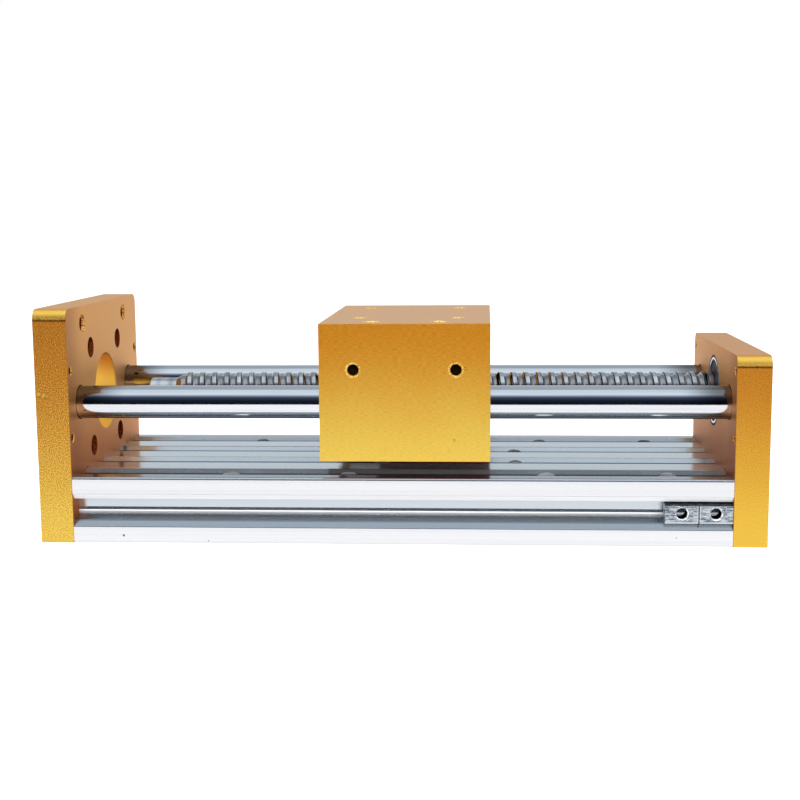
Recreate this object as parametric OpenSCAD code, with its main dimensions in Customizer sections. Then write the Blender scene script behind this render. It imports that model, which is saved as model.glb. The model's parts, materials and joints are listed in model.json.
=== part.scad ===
// Ball screw linear module: a carriage block driven by a rolled ball screw between two round guide
// rods, on an aluminium slot profile closed by a motor plate and a bearing plate.
// X runs along the module to the bearing end, Y to the back and Z up. The origin is at the middle of
// the underside. Sizes are in millimetres.

/* [Base profile] */
// Length of the slot profile between the two end plates
base_length = 195; // [180:1:300]
// Width and height of one cell of the profile
cell = 20; // [20:0.5:22]
// Width of a slot's V mouth at the surface
slot_mouth = 9.8; // [9.4:0.1:10]
// Width of a slot's throat between its lips
slot_throat = 6.2; // [6:0.1:6.4]
// Thickness of the lips of a slot
slot_lip = 2.1; // [2:0.1:2.3]
// Widest part of a slot, behind its lips
slot_cavity = 11; // [10.8:0.1:11.6]
// Depth of a slot from the surface to its floor
slot_depth = 6.1; // [6:0.1:6.3]
// Width of a slot's flat floor
slot_floor = 5.6; // [5.4:0.1:6]
// Thickness of the webs inside the profile
web = 1.5; // [1.2:0.1:1.6]
// Rounding of the profile's four long corners
profile_corner_r = 1.5; // [1:0.1:2]

/* [Base mounting holes] */
// Clearance hole for an M5 screw through a slot
mount_hole_d = 5.5; // [5.2:0.1:5.8]
// Counterbore for the head of that screw
mount_head_d = 8.6; // [8.5:0.1:9.4]
// Place along X of the middle of the hole pattern
mount_centre = 14; // [0:1:20]
// Distance from that middle to the near pair of holes of the outer slots
outer_near = 30; // [24:1:40]
// Distance from that middle to the far pair of holes of the outer slots
outer_far = 66; // [55:1:68]
// Distance from that middle to the holes of the inner slots
inner_half = 21; // [15:1:30]

/* [End plates] */
// Thickness of both end plates
plate_t = 10; // [10:0.5:14]
// Height of the motor plate
motor_plate_h = 70; // [68:1:80]
// Height of the bearing plate
bearing_plate_h = 56; // [54:1:66]
// Rounding of the plates' upper corners
plate_corner_r = 3.2; // [2:0.1:4]
// Bore of the motor plate, for the coupling
motor_bore_d = 24; // [22:0.5:26]
// Recess in the motor plate's outer face, for the pilot of a 57 mm stepper motor
pilot_d = 38.2; // [38.1:0.1:38.6]
// Depth of that recess
pilot_depth = 2; // [1.6:0.1:2.4]
// Spacing of the four M3 screws of a 42 mm stepper motor
small_motor_pitch = 31; // [31:0.1:31.4]
// Spacing of the four M5 screws of a 57 mm stepper motor
large_motor_pitch = 47.14; // [47:0.01:47.3]
// Distance of the side cover's tapped holes from the middle plane
cover_hole_y = 37.3; // [36.8:0.1:37.6]
// Height of the lower and upper holes for a side cover
cover_hole_z = [31.5, 51.5];

/* [Guide rods] */
// Diameter of the two guide rods
rod_d = 10; // [10:0.5:11]
// Distance between the rods' axes
rod_pitch = 56; // [56:0.5:58]
// Height of the screw's and the rods' axes above the underside
axis_z = 41; // [40:0.5:44]
// Depth of a rod's seat in each plate
rod_seat = 5; // [4:0.5:5]

/* [Ball screw] */
// Diameter over the thread's crests
screw_d = 11.7; // [11.5:0.1:12]
// Advance of the thread in one turn
lead = 4; // [4:0.1:4.4]
// Diameter of the balls that run in the thread
ball_d = 2.381; // [2.2:0.001:2.5]
// Diameter of the circle on which those balls' centres run
ball_circle_d = 12.3; // [12.2:0.1:12.6]
// Diameter of the journals at both ends
journal_d = 8; // [7.5:0.5:8]
// Gap between the motor plate and the drive journal's free end
drive_gap = 15; // [12:1:20]
// Length of the drive journal, which takes the coupling
drive_length = 8.7; // [8:0.1:12]
// Length of the cone where the thread starts
thread_start = 3.3; // [2:0.1:4]
// Length of the spacer ring between the thread and the bearing
spacer_length = 2; // [1.5:0.1:3]
// Place of a thread groove's middle along X on the screw's upper side
groove_phase = 0.4; // [0:0.1:3.9]

/* [Screw bearing] */
// Outside diameter of the deep groove ball bearing
bearing_od = 22; // [22:0.5:24]
// Width of that bearing
bearing_w = 7; // [6:0.5:7]
// Diameter of its balls
bearing_ball_d = 3.97; // [3.5:0.01:4]
// Number of its balls
bearing_balls = 7; // [6:1:7]

/* [Carriage] */
// Length of the carriage block along X
block_length = 50; // [48:1:60]
// Height of the block
block_h = 40.5; // [40:0.5:44]
// Gap between the block and the profile
block_gap = 5; // [4:0.5:6]
// Place of the block's middle along X
carriage_x = 2; // [-10:1:10]
// Half the spacing along X of the block's M4 holes
m4_half = 15; // [12:0.5:16]
// Distance of the upper M4 holes in front of the middle plane
m4_front = 17; // [15:0.5:20]
// Distance of the upper M4 holes behind the middle plane
m4_back = 27; // [24:0.5:30]
// Half the spacing along X of the upper M5 holes
m5_half = 10; // [8:0.5:12]
// Distance of the upper M5 holes in front of the middle plane
m5_front = 32; // [30:0.5:33]
// Height above the block's underside of the M4 holes in its front
side_hole_h = 27; // [26.5:0.5:29]

/* [Ball nut] */
// Diameter of the nut's body
nut_d = 24; // [22:0.5:24]
// Length of the nut with its flange
nut_length = 36; // [34:0.5:37]
// Diameter of the nut's flange
flange_d = 40; // [38:0.5:40]
// Width of the flange over its two flats
flange_flats = 30; // [28:0.5:30]
// Thickness of the flange
flange_t = 10; // [9:0.5:10]
// Diameter of the circle of the flange's screws
flange_pcd = 32; // [31:0.5:33]

/* [Linear bearings] */
// Outside diameter of the linear bearings
bush_od = 19; // [19:0.5:21]
// Length of the linear bearings
bush_length = 29; // [27:0.5:30]
// Diameter of their balls
bush_ball_d = 2; // [1.8:0.1:2.2]
// Balls in each row
bush_row = 7; // [5:1:8]

/* [Slot nuts] */
// Length of one slot nut
slot_nut_length = 9.8; // [9:0.1:12]
// Thickness of a slot nut from its face to its back
slot_nut_t = 5; // [4.5:0.1:5.4]
// Width of the wide part behind the lips
slot_nut_w = 10; // [9:0.1:10.2]
// Distance of its face inside the profile's front
slot_nut_inset = 0.3; // [0.2:0.1:0.8]

/* [Hidden] */
$fn = 64;

// Fits: how far each pair of faces stays apart
slide_fit = 0.05;     // a shaft that turns or slides in its seat
seat_fit = 0.01;      // a piece that is pressed or laid in its seat
ball_play = 0.1;      // between a ball and its track
open_fit = 0.3;       // between a thread or a wiper and what passes it
overlap = 1;          // how far a cutting tool runs past a face

// The base and its end plates
slot_rows = 4;
base_w = cell * slot_rows;
base_h = cell;
base_end = base_length / 2;
plate_end = base_end + plate_t;
row_y = [for (i = [0 : slot_rows - 1]) (i - (slot_rows - 1) / 2) * cell];
core_d = 4.2;                                   // core hole of a cell, tapped M5
v_depth = (slot_mouth - slot_throat) / 2;       // a slot's mouth slopes at 45 degrees
slope = (slot_cavity - slot_floor) / 2;         // and so do its inner corners
core_half = slot_floor / 2 + web * 0.7;         // half the solid core round a core hole

// Screws: core diameters stand for the threads
m3_tap = 2.5;
m3_clear = 3.4;
m3_head = 6.5;
m3_head_h = 4;
m4_tap = 3.3;
m4_clear = 4.5;
m4_head = 7;
m4_head_h = 4;
m5_tap = 4.2;
m5_clear = 5.5;
m5_head = 8.5;
m5_head_h = 5;
m5_mouth = 5.8;       // chamfered mouth of a tapped M5 hole
m4_mouth = 4.5;
m3_mouth = 3.2;
m5_csk = 9.6;         // countersunk M5 head
hex_share = 0.5;      // hexagon socket over its screw's head
screw_reach = 9;      // how far a plate screw reaches into the profile or a rod

// The rods and the screw
rod_y = rod_pitch / 2;
rod_end = base_end + rod_seat;
root_d = ball_circle_d - ball_d - 2 * ball_play;
groove_r = ball_d / 2 + ball_play;
crest_depth = (ball_circle_d - screw_d) / 2;
groove_half = sqrt(pow(groove_r, 2) - pow(crest_depth, 2));
drive_start = -base_end + drive_gap;
drive_end = drive_start + drive_length;
thread_end = base_end - spacer_length;
journal_end = plate_end - 0.5;
helix_sides = 16;     // flats round the helix
groove_steps = 5;     // flats across a groove

// The screw's bearing, with its inner face flush with the plate's
race_t = bearing_od * 0.075;
inner_race_d = journal_d + 2 * bearing_od * 0.088;
bearing_pitch_d = (bearing_od - 2 * race_t + inner_race_d) / 2;
ring_groove_x = base_end + bearing_w + 0.1;
ring_t = 0.8;
ring_groove_depth = 0.4;
lip_bore_d = bearing_od - 6;

// The carriage
block_w = base_w;
block_z = base_h + block_gap;
block_top = block_z + block_h;
block_left = carriage_x - block_length / 2;
block_right = carriage_x + block_length / 2;
tap_depth = 7;
flange_x = block_left + m4_head_h + 0.2;
nut_body_x = flange_x + flange_t;
nut_end = flange_x + nut_length;
nut_bore_d = screw_d + 2 * open_fit;
wiper_t = 2.5;
wiper_d = nut_bore_d + 4;
circuits = 3;
circuit_turns = 4 / 3;
balls_per_circuit = 13;
track_step = 360 * ball_d * 1.03 / (PI * ball_circle_d);
track_turns = circuits * circuit_turns;
track_x = (nut_body_x + nut_end - track_turns * lead) / 2;

// The linear bearings, pushed in from the right and held by snap rings
snap_t = 1;
snap_inset = 1.5;
bush_right = block_right - snap_inset - snap_t;
bush_left = bush_right - bush_length;
bush_ball_circle_d = rod_d + bush_ball_d + 2 * ball_play;
bush_sleeve_id = bush_ball_circle_d + bush_ball_d + 2 * ball_play;
bush_rows = 4;
bush_ring_t = 1.6;

// The slot nuts rest on the lower lip of the front slot
slot_nut_boss = slot_throat - 0.4;
slot_nut_z = cell / 2 - (slot_throat - slot_nut_boss) / 2 + 0.02;
slot_nut_gap = 0.05;

// Mating shapes ---------------------------------------------------------------------------------

// A cylinder along X
module bar(d, from, to, y = 0, z = 0) {
    translate([from, y, z]) rotate([0, 90, 0]) cylinder(d = d, h = to - from);
}

// A tube along X
module tube(outer, inner, from, to, y = 0, z = 0) {
    difference() {
        bar(outer, from, to, y, z);
        bar(inner, from - overlap, to + overlap, y, z);
    }
}

// A cone along X
module cone(d1, d2, from, to, y = 0, z = 0) {
    translate([from, y, z]) rotate([0, 90, 0]) cylinder(d1 = d1, d2 = d2, h = to - from);
}

// A profile of [radius, x] points turned about the X axis
module lathe(points) {
    rotate([0, 90, 0]) rotate_extrude() polygon(points);
}

// An outline in Y and Z, extruded along X
module extrude_x(from, to) {
    translate([from, 0, 0]) rotate([90, 0, 90]) linear_extrude(to - from) children();
}

// Cuts a tapped hole along -Z from the origin, with a chamfered mouth
module tapped_hole(d, mouth, depth) {
    translate([0, 0, -depth]) cylinder(d = d, h = depth + overlap);
    translate([0, 0, (d - mouth) / 2]) cylinder(d1 = d, d2 = mouth, h = (mouth - d) / 2);
    cylinder(d = mouth, h = overlap);
}

// Places its children at each [y, z] of a face at x, with their +Z out of that face
module on_face(x, side, places) {
    for (p = places) translate([x, p[0], p[1]]) rotate([0, side * 90, 0]) children();
}

// A socket head screw along -Z with its head's seat at the origin
module cap_screw(head_d, head_h, core, length) {
    difference() {
        union() {
            cylinder(d = head_d, h = head_h);
            translate([0, 0, -length]) cylinder(d = core - 2 * seat_fit, h = length + head_h / 2);
        }
        translate([0, 0, head_h / 2]) cylinder(d = head_d * hex_share, h = head_h, $fn = 6);
    }
}

// Base profile ----------------------------------------------------------------------------------

// One slot as a cutter: the surface is at v = 0 and the slot runs down from it
module slot_outline() {
    deep = slot_depth - slope;
    right = [
        [slot_mouth / 2 + overlap, overlap], [slot_mouth / 2, 0],
        [slot_throat / 2, -v_depth], [slot_throat / 2, -slot_lip],
        [slot_cavity / 2, -slot_lip], [slot_cavity / 2, -deep], [slot_floor / 2, -slot_depth]
    ];
    left = [for (i = [len(right) - 1 : -1 : 0]) [-right[i][0], right[i][1]]];
    polygon(concat(right, left));
}

// The hollow between two neighbouring cells
module chamber_outline() {
    side = cell / 2 - slot_cavity / 2 - web;
    turn = cell / 2 - slot_depth + slope - web * 0.41;
    waist = cell / 2 - core_half;
    low = turn - (waist - side);
    quarter = [[side, cell / 2 - slot_lip], [side, turn], [waist, low]];
    right = concat(quarter, [for (i = [2 : -1 : 0]) [quarter[i][0], -quarter[i][1]]]);
    polygon(concat(right, [for (i = [5 : -1 : 0]) [-right[i][0], right[i][1]]]));
}

module profile_outline() {
    r = profile_corner_r;
    difference() {
        union() {
            translate([-base_w / 2 + r, 0]) square([base_w - 2 * r, base_h]);
            translate([-base_w / 2, r]) square([base_w, base_h - 2 * r]);
            for (y = [-1, 1], z = [r, base_h - r]) translate([y * (base_w / 2 - r), z]) circle(r);
        }
        for (y = row_y) {
            translate([y, base_h]) slot_outline();
            translate([y, 0]) rotate(180) slot_outline();
            translate([y, cell / 2]) circle(d = core_d);
        }
        for (i = [0 : slot_rows - 2])
            translate([(row_y[i] + row_y[i + 1]) / 2, cell / 2]) chamber_outline();
        translate([-base_w / 2, cell / 2]) rotate(90) slot_outline();
        translate([base_w / 2, cell / 2]) rotate(-90) slot_outline();
    }
}

// Places of the mounting holes, as [x, y]
function mount_places() = concat(
    [for (s = [-1, 1], d = [outer_near, outer_far], y = [row_y[0], row_y[slot_rows - 1]])
        [mount_centre + s * d, y]],
    [for (s = [-1, 1], y = [row_y[1], row_y[slot_rows - 2]]) [mount_centre + s * inner_half, y]]
);

module base_profile() {
    color("gainsboro") difference() {
        extrude_x(-base_end, base_end) profile_outline();
        for (p = mount_places()) translate([p[0], p[1], 0]) {
            translate([0, 0, -overlap]) cylinder(d = mount_hole_d, h = base_h + 2 * overlap);
            translate([0, 0, base_h - slot_depth]) cylinder(d = mount_head_d, h = slot_depth + overlap);
        }
    }
}

// End plates ------------------------------------------------------------------------------------

module plate_outline(height) {
    r = plate_corner_r;
    translate([-base_w / 2, 0]) square([base_w, height - r]);
    translate([-base_w / 2 + r, 0]) square([base_w - 2 * r, height]);
    for (y = [-1, 1]) translate([y * (base_w / 2 - r), height - r]) circle(r);
}

rod_places = [[-rod_y, axis_z], [rod_y, axis_z]];
core_places = [for (y = row_y) [y, cell / 2]];
cover_places = [for (y = [-1, 1], z = cover_hole_z) [y * cover_hole_y, z]];
function square_places(half, rows = [-1, 1]) = [for (y = [-1, 1], z = rows) [y * half, axis_z + z * half]];

// What both plates share: rod seats, screw holes and the holes of a side cover.
// side is 1 at the bearing end and -1 at the motor end.
module plate_blank(height, side) {
    inner = side * base_end;
    outer = side * plate_end;
    difference() {
        extrude_x(min(inner, outer), max(inner, outer)) plate_outline(height);
        on_face(inner, -side, rod_places)
            translate([0, 0, -rod_seat]) cylinder(d = rod_d + 2 * seat_fit, h = rod_seat + overlap);
        on_face(outer, side, rod_places) {
            translate([0, 0, -plate_t]) cylinder(d = m5_tap, h = plate_t);
            translate([0, 0, (m5_tap - m5_csk) / 2])
                cylinder(d1 = m5_tap, d2 = m5_csk, h = (m5_csk - m5_tap) / 2);
            cylinder(d = m5_csk, h = overlap);
        }
        on_face(outer, side, core_places) {
            translate([0, 0, -m5_head_h - 0.4]) cylinder(d = m5_head + 1, h = m5_head_h + overlap);
            translate([0, 0, -plate_t - overlap]) cylinder(d = m5_clear, h = plate_t + overlap);
        }
        on_face(inner, -side, cover_places) tapped_hole(m3_tap, m3_mouth, plate_t + overlap);
        on_face(inner, -side, square_places(large_motor_pitch / 2, [-1]))
            tapped_hole(m5_tap, m5_mouth, plate_t + overlap);
    }
}

module motor_plate() {
    color("goldenrod") difference() {
        plate_blank(motor_plate_h, -1);
        bar(motor_bore_d, -plate_end - overlap, -base_end + overlap, 0, axis_z);
        bar(pilot_d, -plate_end - overlap, -plate_end + pilot_depth, 0, axis_z);
        on_face(-base_end, 1, square_places(small_motor_pitch / 2)) {
            translate([0, 0, -m3_head_h]) cylinder(d = m3_head, h = m3_head_h + overlap);
            translate([0, 0, -plate_t - overlap]) cylinder(d = m3_clear, h = plate_t + overlap);
        }
        on_face(-base_end, 1, square_places(large_motor_pitch / 2, [1]))
            tapped_hole(m5_tap, m5_mouth, plate_t + overlap);
    }
}

module bearing_plate() {
    color("goldenrod") difference() {
        plate_blank(bearing_plate_h, 1);
        bar(bearing_od + 2 * seat_fit, base_end - overlap, base_end + bearing_w, 0, axis_z);
        cone(bearing_od + 1, bearing_od, base_end, base_end + 0.5, 0, axis_z);
        bar(lip_bore_d, base_end, plate_end + overlap, 0, axis_z);
    }
}

// Guide rods and the plates' screws -------------------------------------------------------------

module guide_rod(y) {
    chamfer = 0.6;
    color("silver") translate([0, y, axis_z]) difference() {
        lathe([
            [0, -rod_end], [rod_d / 2 - chamfer, -rod_end], [rod_d / 2, -rod_end + chamfer],
            [rod_d / 2, rod_end - chamfer], [rod_d / 2 - chamfer, rod_end], [0, rod_end]
        ]);
        for (s = [-1, 1])
            on_face(s * rod_end, s, [[0, 0]])
                translate([0, 0, -screw_reach - 2]) cylinder(d = m5_tap, h = screw_reach + 3);
    }
}

module front_rod() { guide_rod(-rod_y); }

module rear_rod() { guide_rod(rod_y); }

module rod_screws() {
    head = m5_csk - 0.3;
    depth = (head - m5_tap) / 2;
    color("dimgray") for (s = [-1, 1]) on_face(s * plate_end, s, rod_places) difference() {
        union() {
            translate([0, 0, -depth - 0.15]) cylinder(d1 = m5_tap, d2 = head, h = depth);
            translate([0, 0, -plate_t - screw_reach + rod_seat])
                cylinder(d = m5_tap - 2 * seat_fit, h = plate_t + screw_reach - rod_seat - 0.2);
        }
        translate([0, 0, -2.2]) cylinder(d = 3.4, h = 3, $fn = 6);
    }
}

module plate_screws() {
    color("dimgray") for (s = [-1, 1]) on_face(s * (plate_end - m5_head_h - 0.4), s, core_places)
        cap_screw(m5_head, m5_head_h, m5_tap, plate_t - m5_head_h + screw_reach);
}

// Ball screw ------------------------------------------------------------------------------------

// One pitch of the thread as [x, radius], from the groove's left edge round to its right edge
thread_pitch = [
    for (i = [0 : groove_steps])
        let (edge = asin(groove_half / groove_r), a = -edge + 2 * edge * i / groove_steps)
        [groove_r * sin(a), ball_circle_d / 2 - groove_r * cos(a)]
];

// A blank with a right-hand thread about the X axis, longer and thicker at its ends than the shaft
// that is turned out of it. The first groove's middle stands at x = from at the angle 0, measured from
// +Y to +Z, and the blank reaches from x = low to x = high.
module threaded_blank(pitch, from, turns, low, high) {
    size = len(pitch);
    last = size * turns;
    line = last + 1;
    top = helix_sides - 1;
    first_ring = helix_sides * line;
    last_ring = first_ring + helix_sides;
    function around(x, r, k) = [x, r * cos(360 * k / helix_sides), r * sin(360 * k / helix_sides)];
    function at(k, s) = let (p = pitch[s % size])
        around(from + p[0] + lead * (floor(s / size) + k / helix_sides), p[1], k);
    points = concat(
        [for (k = [0 : top], s = [0 : last]) at(k, s)],
        [for (x = [low, high], k = [0 : top]) around(x, screw_d / 2 + 1, k)],
        [[low, 0, 0], [high, 0, 0]]
    );
    walls = [
        for (k = [0 : top], s = [0 : (k < top ? last : last - size) - 1])
            let (a = k * line + s, b = k < top ? a + line : s + size)
            each [[a, b + 1, b], [a, a + 1, b + 1]]
    ];
    first_end = [
        for (k = [0 : top])
            let (c = first_ring + k, d = first_ring + (k + 1) % helix_sides)
            let (b = k < top ? (k + 1) * line : size)
            each [[c, k * line, b], [c, b, d], [last_ring + helix_sides, c, d]]
    ];
    last_end = [
        for (k = [0 : top])
            let (c = last_ring + k, d = last_ring + (k + 1) % helix_sides)
            let (a = k * line + (k < top ? last : last - size), b = (k + 1) % helix_sides * line + last)
            each [[c, b, a], [c, d, b], [last_ring + helix_sides + 1, d, c]]
    ];
    // where the thread starts and stops, one groove ends in a flat wall
    stops = concat(
        [for (s = [0 : size - 1]) [first_ring, s + 1, s]],
        [for (s = [last - size : last - 1]) [last_ring + top, top * line + s, top * line + s + 1]]
    );
    polyhedron(points, concat(walls, first_end, last_end, stops));
}

// Where a groove's middle lies at the angle 0, next to x
function groove_at(x) = let (zero = groove_phase - lead / 4) zero + lead * ceil((x - zero) / lead);

// The shaft's turned outline: drive journal, thread with its run-out cone, and bearing journal
module shaft_outline() {
    r = journal_d / 2;
    crest = screw_d / 2 + 0.2;
    chamfer = 0.5;
    ring_r = r - ring_groove_depth;
    ring_end = ring_groove_x + ring_t + 0.1;
    lathe([
        [0, drive_start], [r - chamfer, drive_start], [r, drive_start + chamfer], [r, drive_end],
        [crest, drive_end + thread_start], [crest, thread_end - chamfer], [crest - chamfer, thread_end],
        [r, thread_end], [r, ring_groove_x], [ring_r, ring_groove_x], [ring_r, ring_end], [r, ring_end],
        [r, journal_end - chamfer], [r - chamfer, journal_end], [0, journal_end]
    ]);
}

module ball_screw() {
    from = groove_at(drive_end) - 2 * lead;
    turns = ceil((thread_end + groove_half - from) / lead);
    color("silver") translate([0, 0, axis_z]) intersection() {
        threaded_blank(thread_pitch, from, turns, drive_start - overlap, journal_end + overlap);
        shaft_outline();
    }
}

module screw_spacer() {
    color("dimgray")
        tube(inner_race_d, journal_d + 2 * seat_fit, thread_end, base_end, 0, axis_z);
}

module screw_retaining_ring() {
    d = journal_d - 2 * ring_groove_depth + 2 * seat_fit;
    from = ring_groove_x + 0.05;
    color("dimgray") translate([0, 0, axis_z]) difference() {
        tube(journal_d + 4, d, from, from + ring_t);
        translate([from - overlap, -1.5, 0]) cube([ring_t + 2 * overlap, 3, journal_d]);
    }
}

// Screw bearing ---------------------------------------------------------------------------------

// A ring of [radius, x] with the ball track turned out of it
module raced_ring(outer, inner) {
    middle = base_end + bearing_w / 2;
    translate([0, 0, axis_z]) difference() {
        tube(outer, inner, base_end, base_end + bearing_w);
        rotate([0, 90, 0]) rotate_extrude()
            translate([bearing_pitch_d / 2, middle]) circle(bearing_ball_d / 2 + ball_play);
    }
}

module bearing_outer_race() {
    color("silver") raced_ring(bearing_od, bearing_od - 2 * race_t);
}

module bearing_inner_race() {
    color("silver") raced_ring(inner_race_d, journal_d + 2 * seat_fit);
}

module bearing_seals() {
    color("black") for (x = [base_end + 0.3, base_end + bearing_w - 1.1])
        tube(bearing_od - 2 * race_t - 2 * seat_fit, inner_race_d + 0.4, x, x + 0.8, 0, axis_z);
}

bearing_angles = [for (i = [0 : bearing_balls - 1]) 360 * i / bearing_balls];

module bearing_ball_set() {
    color("silver") translate([base_end + bearing_w / 2, 0, axis_z])
        for (a = bearing_angles)
            rotate([a, 0, 0]) translate([0, 0, bearing_pitch_d / 2]) sphere(d = bearing_ball_d);
}

module bearing_cage() {
    middle = base_end + bearing_w / 2;
    cage_half = bearing_ball_d / 2 + 0.3;
    color("peru") translate([0, 0, axis_z]) difference() {
        tube(bearing_pitch_d + 1.2, bearing_pitch_d - 1.2, middle - cage_half, middle + cage_half);
        for (a = bearing_angles) rotate([a, 0, 0]) translate([middle, 0, bearing_pitch_d / 2 - 2])
            cylinder(d = bearing_ball_d + 2 * ball_play, h = 4);
    }
}

// Carriage --------------------------------------------------------------------------------------

module carriage_block() {
    pocket_w = flange_d + 0.6;
    pocket_top = axis_z + flange_flats / 2 + 0.2;
    color("goldenrod") difference() {
        translate([block_left, -block_w / 2, block_z]) cube([block_length, block_w, block_h]);
        // the flange's pocket, open at the left and below
        translate([block_left - overlap, -pocket_w / 2, block_z - overlap])
            cube([nut_body_x - block_left + overlap, pocket_w, pocket_top - block_z + overlap]);
        bar(nut_d + 2 * slide_fit, block_left, block_right + overlap, 0, axis_z);
        for (y = [-rod_y, rod_y]) {
            bar(rod_d + 1, block_left - overlap, block_right, y, axis_z);
            bar(bush_od + 2 * seat_fit, bush_left, block_right + overlap, y, axis_z);
            bar(bush_od + 1.2, bush_right, bush_right + snap_t + 0.1, y, axis_z);
        }
        on_face(nut_body_x, -1, flange_places())
            translate([0, 0, -screw_reach]) cylinder(d = m4_tap, h = screw_reach + overlap);
        for (s = [-1, 1]) {
            for (y = [-m4_front, m4_back])
                translate([carriage_x + s * m4_half, y, block_top])
                    tapped_hole(m4_tap, m4_mouth, tap_depth);
            translate([carriage_x + s * m5_half, -m5_front, block_top])
                tapped_hole(m5_tap, m5_mouth, tap_depth);
            translate([carriage_x + s * m4_half, -block_w / 2, block_z + side_hole_h])
                rotate([90, 0, 0]) tapped_hole(m4_tap, m4_mouth, tap_depth);
        }
    }
}

// The flange's four screws, at 45 degrees
function flange_places() = [
    for (a = [45 : 90 : 315]) [flange_pcd / 2 * cos(a), axis_z + flange_pcd / 2 * sin(a)]
];

module ball_nut() {
    pitch = [for (p = thread_pitch) [p[0], ball_circle_d - p[1]]];
    track = concat([[-groove_half, nut_bore_d / 2 - 1]], pitch, [[groove_half, nut_bore_d / 2 - 1]]);
    color("slategray") difference() {
        union() {
            intersection() {
                bar(flange_d, flange_x, nut_body_x, 0, axis_z);
                translate([flange_x, -flange_d / 2, axis_z - flange_flats / 2])
                    cube([flange_t, flange_d, flange_flats]);
            }
            bar(nut_d, nut_body_x - 0.5, nut_end, 0, axis_z);
        }
        bar(nut_bore_d, flange_x - overlap, nut_end + overlap, 0, axis_z);
        for (x = [flange_x, nut_end - wiper_t])
            bar(wiper_d, x - (x == flange_x ? overlap : 0),
                x + wiper_t + (x == flange_x ? 0 : overlap), 0, axis_z);
        on_face(flange_x, -1, flange_places())
            translate([0, 0, -flange_t - overlap]) cylinder(d = m4_clear, h = flange_t + 2 * overlap);
        translate([0, 0, axis_z]) for (d = deflector_places()) deflector_hole(d, 0);
        translate([0, 0, axis_z]) helix_track(track);
    }
}

// The nut's ball track: a helical groove that opens into the bore. Its flats lie outside the true
// helix, so that the balls clear their middles.
module helix_track(section) {
    steps = ceil(track_turns * helix_sides);
    grow = 1 / cos(180 / helix_sides);
    size = len(section);
    start = groove_at(track_x);
    points = [
        for (k = [0 : steps], p = section)
            [start + p[0] + lead * k / helix_sides,
             grow * p[1] * cos(360 * k / helix_sides), grow * p[1] * sin(360 * k / helix_sides)]
    ];
    walls = [
        for (k = [0 : steps - 1], i = [0 : size - 1])
            let (a = k * size + i, b = k * size + (i + 1) % size)
            each [[a, b, b + size], [a, b + size, a + size]]
    ];
    polyhedron(points, concat(
        walls, [[for (i = [size - 1 : -1 : 0]) i]], [[for (i = [0 : size - 1]) steps * size + i]]
    ));
}

// Angle along the helix of ball i of circuit c
function ball_angle(c, i) = 360 * circuit_turns * c + track_step * (i + 0.5);

module nut_balls() {
    start = groove_at(track_x);
    color("silver") translate([0, 0, axis_z])
        for (c = [0 : circuits - 1], i = [0 : balls_per_circuit - 1])
            let (a = ball_angle(c, i))
            translate([start + lead * a / 360, 0, 0]) rotate([a, 0, 0])
                translate([0, ball_circle_d / 2, 0]) sphere(d = ball_d);
}

// Each circuit returns its balls through a deflector in the nut's wall, past its last ball
function deflector_places() = [
    for (c = [0 : circuits - 1]) let (a = ball_angle(c, balls_per_circuit) + 40)
        [groove_at(track_x) + lead * (a / 360 - 0.5), a]
];

module deflector_hole(place, fit) {
    translate([place[0], 0, 0]) rotate([place[1], 0, 0]) rotate([-90, 0, 0])
        translate([0, 0, nut_bore_d / 2 - 0.6]) cylinder(d = 5 - 2 * fit, h = nut_d);
}

module nut_deflectors() {
    color("whitesmoke") translate([0, 0, axis_z]) intersection() {
        for (d = deflector_places()) deflector_hole(d, seat_fit);
        tube(nut_d - 0.6, ball_circle_d + ball_d + 0.6, flange_x, nut_end);
    }
}

module nut_wipers() {
    color("whitesmoke") for (x = [flange_x, nut_end - wiper_t])
        tube(wiper_d - 2 * seat_fit, screw_d + open_fit, x, x + wiper_t, 0, axis_z);
}

module nut_screws() {
    color("dimgray") on_face(flange_x, -1, flange_places())
        cap_screw(m4_head, m4_head_h, m4_tap, flange_t + screw_reach - 2);
}

// Linear bearings -------------------------------------------------------------------------------

bush_angles = [for (i = [0 : bush_rows - 1]) 45 + 360 * i / bush_rows];

module bush_sleeve(y) {
    groove_offset = bush_length * 0.38;
    middle = (bush_left + bush_right) / 2;
    color("silver") translate([0, y, axis_z]) difference() {
        tube(bush_od, bush_sleeve_id, bush_left, bush_right);
        for (s = [-1, 1])
            tube(bush_od + 2, bush_od - 1,
                middle + s * groove_offset - 0.65, middle + s * groove_offset + 0.65);
    }
}

module bush_retainer(y) {
    slot = bush_row * bush_ball_d * 1.1 + 0.4;
    middle = (bush_left + bush_right) / 2;
    color("ivory") translate([0, y, axis_z]) difference() {
        tube(bush_sleeve_id - 0.2, rod_d + 0.8, bush_left + bush_ring_t, bush_right - bush_ring_t);
        for (a = bush_angles) rotate([a, 0, 0])
            translate([middle - slot / 2, -bush_ball_d / 2 - ball_play, 0])
                cube([slot, bush_ball_d + 2 * ball_play, bush_od]);
    }
}

module bush_balls(y) {
    middle = (bush_left + bush_right) / 2;
    color("silver") translate([0, y, axis_z])
        for (a = bush_angles, i = [0 : bush_row - 1])
            rotate([a, 0, 0])
                translate([middle + (i - (bush_row - 1) / 2) * bush_ball_d * 1.1, 0, bush_ball_circle_d / 2])
                    sphere(d = bush_ball_d, $fn = 32);
}

module front_bush_sleeve() { bush_sleeve(-rod_y); }

module rear_bush_sleeve() { bush_sleeve(rod_y); }

module front_bush_retainer() { bush_retainer(-rod_y); }

module rear_bush_retainer() { bush_retainer(rod_y); }

module front_bush_balls() { bush_balls(-rod_y); }

module rear_bush_balls() { bush_balls(rod_y); }

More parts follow.
